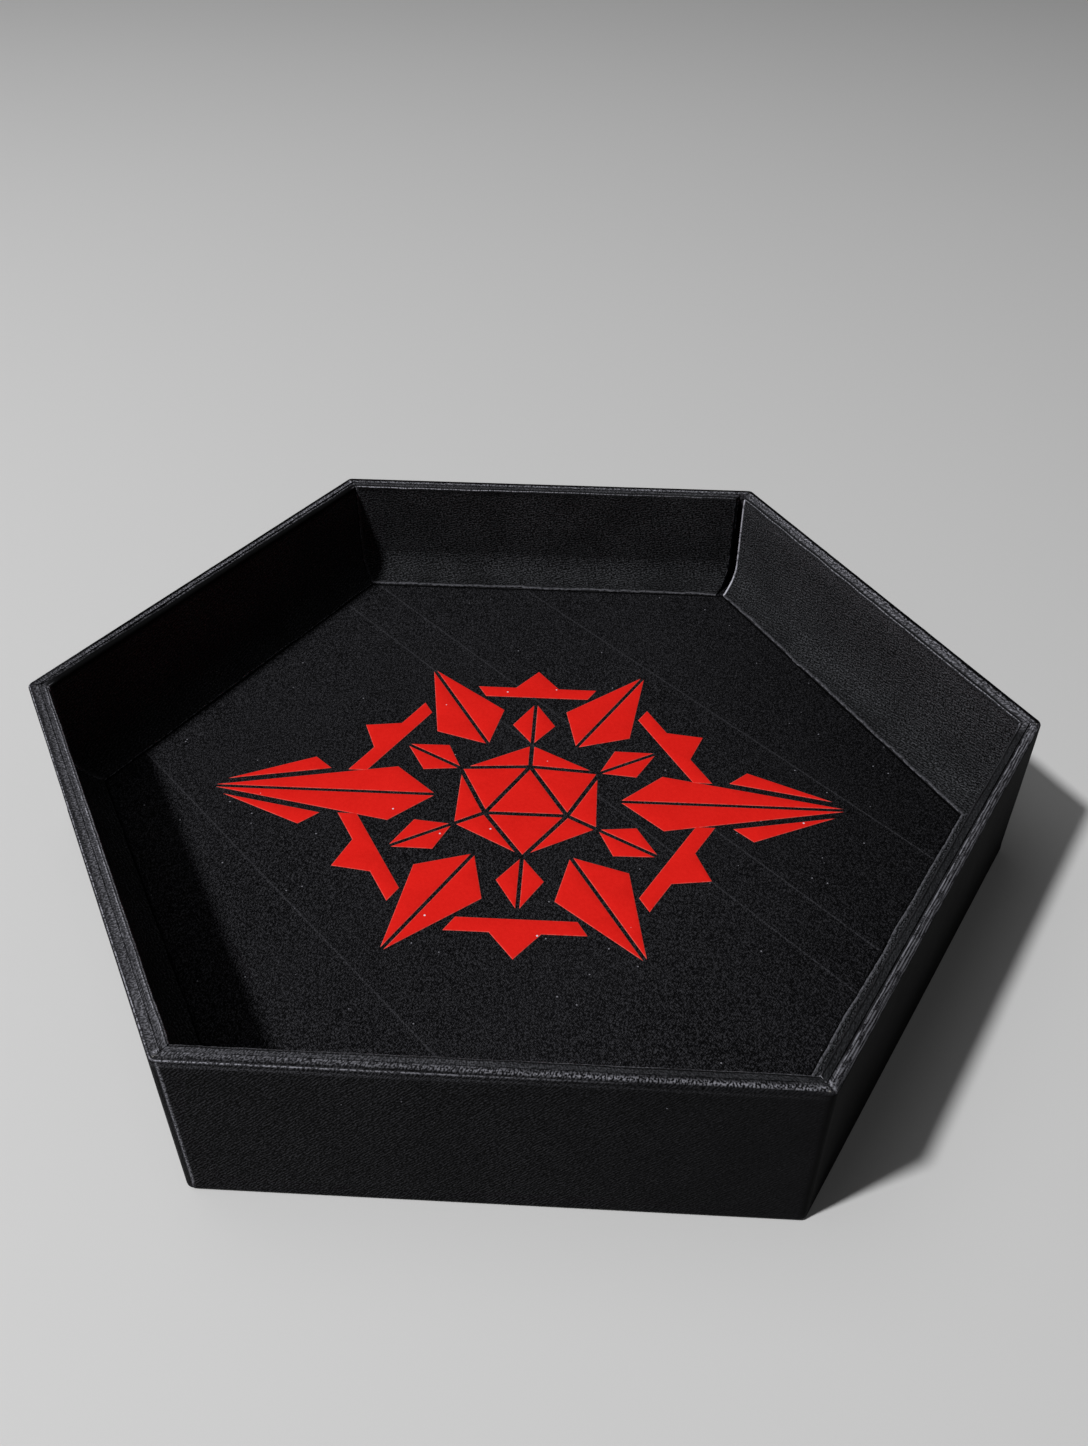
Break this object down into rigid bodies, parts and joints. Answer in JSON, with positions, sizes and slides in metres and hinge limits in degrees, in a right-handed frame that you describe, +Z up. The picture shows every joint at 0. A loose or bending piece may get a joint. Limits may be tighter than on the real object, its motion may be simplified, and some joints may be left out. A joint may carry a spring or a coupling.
{
  "type": "dice tray",
  "caption": "Rigid hexagonal dice tray bound in black leatherette, with coved inner walls and a padded felt floor with a red printed ornament.",
  "frame": {"origin": "middle of the flat underside, where the tray stands", "axes": "+Z up out of the open top; +X through the right-hand corner, so two corners lie on X; -Y is the front wall"},
  "size_m": [0.2534, 0.22, 0.0444],
  "materials": {
    "leatherette": "matt black fine-grained leatherette with worn edges",
    "greyboard": "plain grey bookbinding board",
    "stay_paper": "brown gummed paper",
    "foam": "closed-cell foam sheet",
    "felt": "black short-napped felt",
    "red_film": "matt red transfer film"
  },
  "bodies": {
    "root": {"base_cover": "leatherette", "base_board": "greyboard", "outer_wrap": "leatherette", "floor_pad": "foam", "floor_board": "greyboard", "floor_felt": "felt", "floor_emblem": "red_film", "wall_board_back_right": "greyboard", "corner_stay_1": "stay_paper", "liner_board_back_right": "greyboard", "liner_cover_back_right": "leatherette", "wall_board_back": "greyboard", "corner_stay_2": "stay_paper", "liner_board_back": "greyboard", "liner_cover_back": "leatherette", "wall_board_back_left": "greyboard", "corner_stay_3": "stay_paper", "liner_board_back_left": "greyboard", "liner_cover_back_left": "leatherette", "wall_board_front_left": "greyboard", "corner_stay_4": "stay_paper", "liner_board_front_left": "greyboard", "liner_cover_front_left": "leatherette", "wall_board_front": "greyboard", "corner_stay_5": "stay_paper", "liner_board_front": "greyboard", "liner_cover_front": "leatherette", "wall_board_front_right": "greyboard", "corner_stay_6": "stay_paper", "liner_board_front_right": "greyboard", "liner_cover_front_right": "leatherette"}
  },
  "joints": []
}
